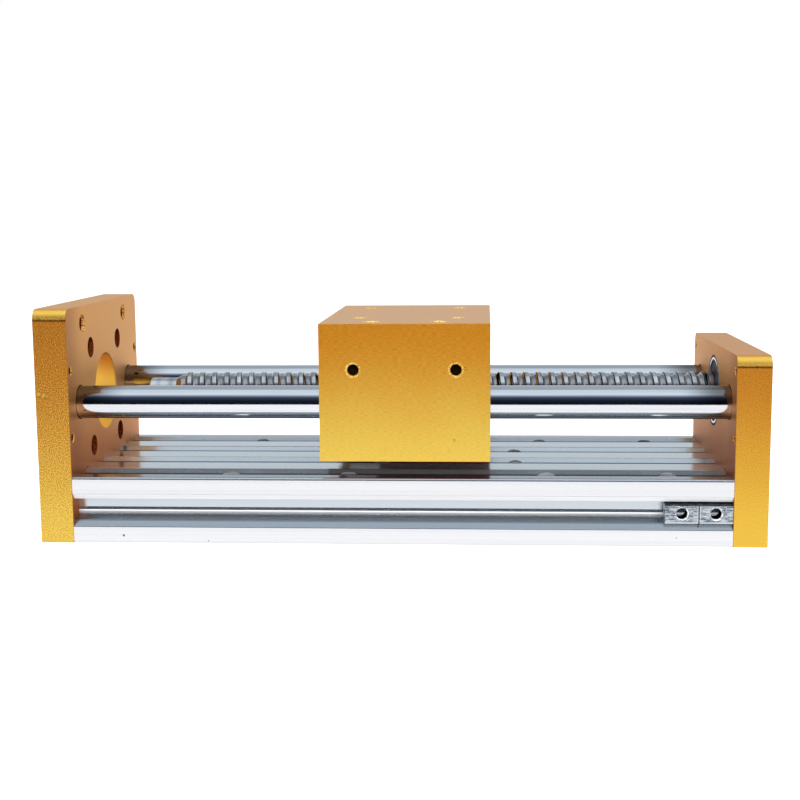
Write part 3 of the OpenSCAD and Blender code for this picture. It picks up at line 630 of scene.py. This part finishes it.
def end_plate(height, side):
    """A plate and its cuts: rod seats, countersinks, screw holes. side is 1 at the bearing end."""
    inner, outer = side * base_end, side * plate_end
    r = plate_corner
    outline = [(-base_half, 0), (base_half, 0)]
    outline += quarter((base_half - r, height - r), r, 0)
    outline += quarter((-base_half + r, height - r), r, 90)
    form, cuts = bmesh.new(), bmesh.new()
    prism(form, outline, min(inner, outer), max(inner, outer))
    seat = [(seat_chamfer_depth, rod_radius + seat_chamfer), (seat_depth, rod_radius + seat_play)]
    sink = [(-sink_depth, 0), (-sink_depth, sink_way), (sink_way - sink_mouth, sink_way),
            (0, sink_mouth, 2), (1, sink_mouth), (1, 0)]
    for y in (-rod_y, rod_y):
        stepped(cuts, (inner, y, axis_height), (-side, 0, 0), seat, 3)
        lathe(cuts, sink, (outer, y, axis_height), (side, 0, 0), 48, 1)
    for y in slot_rows:
        steps = [(screw_socket_depth, screw_socket), (through, screw_way)]
        stepped(cuts, (outer, y, base_top / 2), (side, 0, 0), steps)
    return form, cuts, inner


def from_screw(where):
    """X, the height above the screw's axis and the distance from it, in millimetres."""
    x_mm, y_mm, z_mm = spread(where)
    rise = z_mm - axis_height
    return x_mm, rise, (y_mm * y_mm + rise * rise).math("SQRT")


def turned(along, across, around, detail):
    """Noise drawn out round the screw's axis, as a lathe leaves it."""
    where = Wire.node(along.tree, "CombineXYZ", None, {0: along, 1: across, 2: around})[0]
    return texture(where, 1.0, detail)


motor_height = span("motor_plate")[1].z
form, cuts, inner = end_plate(motor_height, -1)
bore, pilot = holes("motor_bore")[1], holes("pilot_recess")[1]
pilot_floor, bore_chamfer = 2 - plate_thick, 0.3
profile = [(-through, 0), (-through, pilot), (pilot_floor, pilot), (pilot_floor, bore),
           (-bore_chamfer, bore), (0, bore + bore_chamfer), (1, bore + bore_chamfer), (1, 0)]
lathe(cuts, profile, (inner, 0, axis_height), (1, 0, 0), 128, 4)
places, radius = holes("small_motor_holes")
for place in places:
    steps = [(m3_head_depth, m3_head_radius), (through, radius)]
    stepped(cuts, (inner, place.y, place.z), (1, 0, 0), steps)
plate_taps(cuts, "large_motor_holes", inner, (1, 0, 0), m5_thread)
plate_taps(cuts, "motor_plate_cover_holes", inner, (1, 0, 0), m3_thread)

bright_bore, where = bare_surface("turned_gold_bore")
x_mm, rise, radial = from_screw(where)
marks = turned(x_mm * 9, radial * 9, 0.0, 2.0)
# painted light: lighter below the screw's axis and darker above
colour = (rise + marks * 2).ease(-2, 13).blend(shade(255, 206, 86), shade(206, 128, 38))
coat(bright_bore, colour, 0.55, marks.ease(0.3, 0.7, 0.32, 0.42))
# a dent in the front edge
dents = [((-plate_end + 3.3, -base_half, 44.3), 0.9), ((-plate_end + 2.3, -base_half, 44.5), 1.2),
         ((-plate_end + 1.0, -base_half, 44.9), 1.1)]
motor_gold = gold("gold_motor_plate", 0, 66, motor_height, shade(255, 223, 98), shade(246, 166, 54),
                  1.65, dents, motor_height - plate_corner, (shade(214, 120, 44), shade(242, 178, 100)))
part("motor_end_plate", finished("motor_end_plate", form, cuts, 0.3),
     [motor_gold, gold_bore, plate_rim, hole_shade_paint, bright_bore], "frame", "gold_anodised", "motor_plate")

bearing_height = span("bearing_plate")[1].z
race_low, race_high = span("bearing_outer_race")
race_radius = (race_high.y - race_low.y) / 2
race_depth = race_high.x - race_low.x
race_seat, race_chamfer, race_way = race_radius + 0.02, 0.2, race_radius - 3
form, cuts, inner = end_plate(bearing_height, 1)
profile = [(-through, 0), (-through, race_way), (-race_depth, race_way), (-race_depth, race_seat),
           (-race_chamfer, race_seat), (0, race_seat + race_chamfer), (1, race_seat + race_chamfer), (1, 0)]
lathe(cuts, profile, (inner, 0, axis_height), (-1, 0, 0), 128, 3)
plate_taps(cuts, "bearing_plate_lower_holes", inner, (-1, 0, 0), m5_thread)
plate_taps(cuts, "bearing_plate_cover_holes", inner, (-1, 0, 0), m3_thread)
# burrs on the upper inner edge
burrs = [((base_end, -17, bearing_height), 0.6), ((base_end, -24, bearing_height), 0.5),
         ((base_end, -10, bearing_height), 0.4)]
bearing_gold = gold("gold_bearing_plate", 0, 60, bearing_height, shade(246, 202, 74), shade(236, 152, 44),
                    0.66, burrs, bearing_height - plate_corner, (shade(188, 98, 28), shade(236, 168, 92)))
part("bearing_end_plate", finished("bearing_end_plate", form, cuts, 0.3),
     [bearing_gold, gold_bore, plate_rim, hole_shade_paint], "frame", "gold_anodised", "bearing_plate")


# Guide rods: 10 mm bearing steel, hardened, ground and hard chromed. Each end sits in a plate and is
# held by a countersunk screw.
def steel(name, dark, light, smooth, dull, grain, mottle=0.0, painted_shade_z=None):
    """Ground or polished steel: its colours, its roughness, and its grain's fineness along X, Y and Z.
    A rod is painted darker as shade below the height it is given, and on its upper side near the plates."""
    made, where = bare_surface(name)
    lines = texture(where, grain, 4.0)
    spots = texture(where, 900.0, 2.0)
    colour = lines.ease(0.3, 0.7).blend(dark, light)
    if painted_shade_z:
        x_mm, _, z_mm = spread(where)
        # painted shade on the rod's lower part
        lower_shade = (z_mm + (spots - 0.5) * 0.4).fade(painted_shade_z - 0.1, painted_shade_z + 0.1)
        colour = (lower_shade * 0.7).blend(colour, shade(132, 136, 146))
        # painted shade on the rod's upper side near the plates
        near_plate_shade = x_mm.math("ABSOLUTE").ease(base_end - 16, base_end - 3)
        upper = (z_mm + (spots - 0.5) * 0.6).ease(axis_height - 0.4, axis_height + 0.6)
        colour = (near_plate_shade * upper * 0.85).blend(colour, shade(104, 98, 98))
    normal = relief(lines * (1 - mottle) + spots * mottle, 0.06 + mottle * 0.3, 0.01)
    coat(made, colour, 1.0, lines.ease(0.3, 0.7, smooth, dull), normal)
    return made


chrome = steel("chromed_steel", shade(228, 231, 235), shade(240, 242, 245), 0.07, 0.13, (30, 900, 900), 0.4,
               axis_height - rod_radius * 0.72)
rod_edge = 0.6
length = rod_high.x - rod_low.x
profile = [(0, 0), (0, rod_radius - rod_edge), (rod_edge, rod_radius), (length - rod_edge, rod_radius),
           (length, rod_radius - rod_edge), (length, 0)]
for name, node, y in (("front_guide_rod", "front_rod", -rod_y), ("rear_guide_rod", "rear_rod", rod_y)):
    form = bmesh.new()
    lathe(form, profile, (rod_low.x, y, axis_height), (1, 0, 0), 128)
    part(name, finished(name, form), [chrome], "frame", "bright_steel", node)


# Ball screw: a rolled and ground shaft with a right-hand ball thread, 4 mm to a turn. Both ends are
# turned down to 8 mm, and a spacer ring and the bearing sit against the thread's right end.
screw_low, screw_high = span("ball_screw")
lead = 4.0
ball_radius, ball_play = 2.381 / 2, 0.1
ball_circle = 12.3 / 2
crest_radius, crest_round = 11.7 / 2, 0.12
groove_radius = ball_radius + ball_play
groove_middle = 0.4
journal = holes("drive_journal")[1]
drive_end = screw_low.x + 8.7
full_thread = drive_end + 3.3
thread_end, thread_chamfer = base_end - 2, 0.6
steps_round, arc_steps = 56, 8
end_chamfer, centre_radius, centre_depth = 0.5, 1, 1.2
ring_place, ring_depth, ring_width = base_end + 7.1 - thread_end, 0.4, 0.9

groove_half = math.sqrt(groove_radius ** 2 - (ball_circle - crest_radius) ** 2)
lip_radius = crest_radius - crest_round
pitch_points = []
for k in range(arc_steps + 1):
    across = groove_half * math.sin(math.pi * (k / arc_steps - 0.5))
    pitch_points.append((across, ball_circle - math.sqrt(groove_radius ** 2 - across ** 2)))
pitch_points[0] = (-groove_half, lip_radius)
pitch_points[-1] = (groove_half, lip_radius)
next_groove = lead - groove_half
pitch_points += [(groove_half + crest_round, crest_radius), (next_groove - crest_round, crest_radius),
                 (next_groove, lip_radius)]


def shaft_radius(x):
    """The turned outline over the thread: run-out cone at the left, chamfer at the right."""
    cone = journal + (crest_radius - journal) * (x - drive_end) / (full_thread - drive_end)
    return max(journal, min(crest_radius, cone, crest_radius - thread_chamfer + (thread_end - x)))


form = bmesh.new()
first_groove = groove_middle - lead / 4 + lead * math.floor((drive_end - groove_middle) / lead - 1)
total = int(((thread_end - first_groove) / lead + 2) * steps_round)
columns = []
for step in range(total + 1):
    angle = 2 * math.pi * step / steps_round
    column = []
    for across, radius in pitch_points:
        x = first_groove + lead * step / steps_round + across
        x = min(max(x, drive_end), thread_end)
        radius = min(radius, shaft_radius(x))
        column.append(form.verts.new((x, radius * math.cos(angle), axis_height + radius * math.sin(angle))))
    columns.append(column)
for one, two in zip(columns, columns[1:]):
    for k in range(len(one) - 1):
        form.faces.new((one[k], two[k], two[k + 1], one[k + 1]))
bmesh.ops.remove_doubles(form, verts=form.verts, dist=0.004)
bmesh.ops.dissolve_degenerate(form, dist=0.001, edges=form.edges)
bmesh.ops.holes_fill(form, edges=[edge for edge in form.edges if edge.is_boundary], sides=0)
length = drive_end - screw_low.x
profile = [(centre_depth, 0), (0, centre_radius), (0, journal - end_chamfer), (end_chamfer, journal),
           (length + 1, journal), (length + 1, 0)]
lathe(form, profile, (screw_low.x, 0, axis_height), (1, 0, 0), 64)
length = screw_high.x - thread_end
ring_end, ring_floor = ring_place + ring_width, journal - ring_depth
profile = [(-1, 0), (-1, journal), (ring_place, journal), (ring_place, ring_floor), (ring_end, ring_floor),
           (ring_end, journal), (length - end_chamfer, journal), (length, journal - end_chamfer),
           (length, centre_radius), (length - centre_depth, 0)]
lathe(form, profile, (thread_end, 0, axis_height), (1, 0, 0), 64)

screw_steel, where = bare_surface("ground_screw_steel")
x_mm, rise, radial = from_screw(where)
marks = turned(x_mm * 0.7, radial * 2.2, x_mm * 0.26, 3.0)
smudge = texture(where, 260.0, 3.0)
colour = marks.ease(0.35, 0.65).blend(shade(190, 190, 192), shade(236, 236, 238))
colour = (smudge.ease(0.5, 0.7) * 0.4).blend(colour, shade(150, 136, 124))
# darker in the grooves, and a painted dark line of shade along both edges of each groove
below_crest = crest_radius - radial
in_groove = radial.ease(journal + 0.1, journal + 0.3) * below_crest.ease(0.4, 0.55)
colour = (in_groove * 0.6).blend(colour, shade(138, 138, 142))
colour = (below_crest.within(0.0, 0.06, 0.31, 0.43) * 0.95).blend(colour, shade(20, 20, 24))
coat(screw_steel, colour, 1.0, marks.ease(0.3, 0.7, 0.1, 0.2), relief(marks, 0.15, 0.02))
part("lead_shaft", finished("lead_shaft", form), [screw_steel], "screw", "screw_steel", "ball_screw")


# Carriage block: one piece of aluminium, milled, drilled, tapped, finely blasted and gold anodised. Its
# left end is open below for the nut's flange, and the linear bearings go in from the right.
block_low, block_high = span("carriage_block")
nut_low, nut_high = span("ball_nut")
flange_thick, flange_play = 10, 0.3
flange_back = nut_low.x + flange_thick
pocket, pocket_top = nut_high.y + flange_play, axis_height + 15.2
nut_way, nut_way_length = 12.05, 60
bush_low, bush_high = span("rear_bush_sleeve")
bush_radius = (bush_high.y - bush_low.y) / 2 + 0.02
rod_way = rod_radius + 0.5
bush_ring_depth, bush_ring_width = 0.6, 1.1
tap_depth = 7

form, cuts = bmesh.new(), bmesh.new()
outline = [(-base_half, block_low.z), (base_half, block_low.z), (base_half, block_high.z),
           (-base_half, block_high.z)]
prism(form, outline, block_low.x, block_high.x)
pocket_mouth = block_low.z - 1
outline = [(-pocket, pocket_mouth), (pocket, pocket_mouth), (pocket, pocket_top), (-pocket, pocket_top)]
prism(cuts, outline, block_low.x - 1, flange_back)
length = block_high.x - block_low.x
shoulder, ring_start = bush_low.x - block_low.x, bush_high.x - block_low.x
ring_end, ring_floor = ring_start + bush_ring_width, bush_radius + bush_ring_depth
profile = [(-1, 0), (-1, rod_way), (shoulder, rod_way), (shoulder, bush_radius), (ring_start, bush_radius),
           (ring_start, ring_floor), (ring_end, ring_floor), (ring_end, bush_radius),
           (length + 1, bush_radius), (length + 1, 0)]
for y in (-rod_y, rod_y):
    lathe(cuts, profile, (block_low.x, y, axis_height), (1, 0, 0), 64, 1)
# a mount's point lies below the chamfer, so each hole's mouth is this much further out
taps = [("carriage_top_m4", m4_thread, 0.7), ("carriage_top_m5", m5_thread, 0.9),
        ("carriage_front_m4", m4_thread, 0.7)]
for name, thread, level_out in taps:
    toward = Vector(mounts[name]["axis"])
    places, radius = holes(name)
    for place in places:
        tapped(cuts, place + toward * level_out, toward, radius, thread, tap_depth, 3)
profile = [(-2, 0), (-2, nut_way), (nut_way_length, nut_way), (nut_way_length, 0)]
lathe(cuts, profile, (flange_back, 0, axis_height), (1, 0, 0), 96, 1)
scratches = [((block_low.x + 39.5, -base_half, block_low.z + 6.4), 0.45), ((19.8, -base_half, 52.4), 0.5)]
block_gold = gold("gold_carriage", block_low.z, block_high.z, block_high.z, shade(254, 217, 94),
                  shade(249, 165, 44), 0.36, scratches)
gold_rim = machined("gold_countersink", shade(230, 168, 60), shade(255, 222, 120), 0.6, 0.25, 0.4,
                    1800.0, (0.4, 0.56), 0.5, 0.03)
part("carriage", finished("carriage", form, cuts, 0.25), [block_gold, gold_bore, gold_rim, hole_shade_paint],
     "carriage", "gold_anodised", "carriage_block")


# Slot nuts: two small zinc-plated steel nuts, side by side in the front slot, scuffed by tumbling.
# Each has a raised middle that runs between the slot's lips.
zinc, where = bare_surface("scuffed_zinc")
patches = texture(where, (620, 1400, 2300), 5.0, 0.7)
scratch = texture(where, (300, 3000, 4200), 2.0, tilt=0.5)
tone = patches.ease(0.4, 0.6)
colour = tone.blend(shade(84, 98, 116), shade(214, 222, 228))
colour = (scratch.ease(0.58, 0.66) * 0.8).blend(colour, shade(250, 252, 253))
# lighter along the lower edge and beside the joint, and painted shade where a nut meets a lip or the other
# nut
x_mm, _, z_mm = spread(where)
nut_centre = holes("inner_slot_nut_thread")[0][0]
meet = (nut_centre.x + holes("outer_slot_nut_thread")[0][0].x) / 2
rise = z_mm - nut_centre.z + (patches - 0.5) * 0.8
apart = (x_mm - meet).math("ABSOLUTE")
lighter_edges = rise.fade(-2.6, -2.45).math("MAXIMUM", apart.fade(0.42, 0.56))
colour = (lighter_edges * 0.8).blend(colour, shade(232, 238, 242))
gap_shade = rise.ease(2.2, 2.45).math("MAXIMUM", (apart + (patches - 0.5) * 0.3).fade(0.14, 0.26))
colour = (gap_shade * 0.9).blend(colour, shade(18, 20, 26))
coat(zinc, colour, 0.9, tone * 0.2 + 0.25, relief(patches, 0.7, 0.05))
# the threaded wall, painted dark as the shade inside the hole
dark_zinc = steel("dark_threaded_steel", shade(40, 48, 58), shade(84, 96, 110), 0.25, 0.4,
                  (600, 600, 600), 0.2)
zinc_rim = machined("bright_zinc_rim", shade(120, 132, 146), shade(242, 246, 250), 0.35, 0.3, 0.45,
                    1300.0, (0.42, 0.56))
slot_nut_thread = (0.7, 2.0)
boss, boss_depth, back_slope = 2.9, 2.2, 1.8
for node in ("inner_slot_nut", "outer_slot_nut"):
    low, high = span(node)
    places, radius = holes(node + "_thread")
    centre_x, _, centre_z = places[0]
    wing = (high.z - low.z) / 2
    half = [(low.y, boss), (low.y + boss_depth, boss), (low.y + boss_depth, wing),
            (high.y - back_slope, wing), (high.y, boss)]
    outline = [(y, centre_z + z) for y, z in half] + [(y, centre_z - z) for y, z in half[::-1]]
    form, cuts = bmesh.new(), bmesh.new()
    prism(form, outline[::-1], low.x, high.x)
    tapped(cuts, (centre_x, low.y, centre_z), (0, -1, 0), radius, slot_nut_thread, 6)
    name = node + "_piece"
    part(name, finished(name, form, cuts, 0.25), [zinc, dark_zinc, zinc_rim], node, "zinc_steel", node)


# Bearing: a deep-groove ball bearing in the right plate, with ground races, a brass cage and rubber
# seals. Its outer race is painted dark along its chamfers, as the shade of the gaps.
race_steel, where = bare_surface("ground_race_steel")
_, _, radial = from_screw(where)
polish = texture(where, 400.0, 3.0)
colour = polish.ease(0.35, 0.65).blend(shade(184, 187, 192), shade(206, 209, 214))
# painted shade in the gaps at the outer race's chamfers
outer_chamfer = (radial - (race_radius - 0.1)).math("ABSOLUTE").fade(0.4, 0.55)
inner_chamfer = (radial - (race_radius - 1.45)).math("ABSOLUTE").fade(0.15, 0.3)
chamfer_shade = outer_chamfer.math("MAXIMUM", inner_chamfer)
colour = (chamfer_shade * 0.85).blend(colour, shade(28, 28, 32))
coat(race_steel, colour, 1 - chamfer_shade, polish.ease(0.3, 0.7, 0.16, 0.26) + chamfer_shade * 0.6)
turned_steel = steel("turned_ring_steel", shade(104, 107, 112), shade(168, 172, 178), 0.12, 0.2,
                     (2600, 60, 60))
brass = steel("cage_brass", shade(176, 136, 66), shade(206, 168, 92), 0.24, 0.36, (500, 500, 500), 0.2)


# Bought parts inside the block, the bearing and the screws keep their modelled shape: ground bushes
# and balls, a ground nut with its plastic return, moulded seals and blackened screws.
def moulded(name, dark, light, smooth, dull, fineness, strength):
    """Moulded rubber or plastic: its colours, its roughness, and its texture's fineness and relief."""
    made, where = bare_surface(name)
    skin = texture(where, fineness, 4.0)
    flow = texture(where, 160.0, 2.0)
    colour = (skin * 0.4 + flow * 0.6).ease(0.38, 0.62).blend(dark, light)
    coat(made, colour, 0.0, skin.ease(0.3, 0.7, smooth, dull), relief(skin, strength, 0.02))
    return made


black = steel("black_oxide_steel", shade(24, 24, 26), shade(44, 44, 48), 0.34, 0.5, (400, 400, 400), 0.3)
nut_steel = steel("ground_nut_steel", shade(166, 168, 172), shade(184, 186, 190), 0.22, 0.3,
                  (160, 1500, 1500), 0.1)
bright_steel = steel("bright_steel", shade(188, 191, 196), shade(214, 217, 221), 0.1, 0.2,
                     (200, 600, 600), 0.1)
rubber = moulded("black_rubber", shade(20, 20, 21), shade(36, 36, 38), 0.45, 0.62, 2400.0, 0.3)
plastic = moulded("white_acetal", shade(214, 211, 200), shade(232, 229, 219), 0.32, 0.42, 1200.0, 0.1)
by_slot = {"black_steel": black, "nut_steel": nut_steel, "seal_rubber": rubber, "white_plastic": plastic,
           "cage_brass": brass, "bright_steel": bright_steel}
by_node = {"bearing_outer_race": race_steel, "screw_spacer": turned_steel}
# the nodes that a piece stands for are hidden, so some of them have no finish here
for row in frame["record"]["subparts"]:
    node = frame["nodes"][row["node"]]
    finish = by_node.get(row["node"], by_slot.get(row["material_slot"]))
    if finish is None:
        continue
    node.data.materials.clear()
    node.data.materials.append(finish)
    node.data.polygons.foreach_set("use_smooth", [True] * len(node.data.polygons))
    node.data.set_sharp_from_angle(angle=math.radians(35))
    rounded = node.modifiers.new("broken_edges", "BEVEL")
    rounded.width, rounded.segments = 0.12 * MM, 2
    rounded.limit_method, rounded.angle_limit = "ANGLE", math.radians(50)
    rounded.harden_normals = True
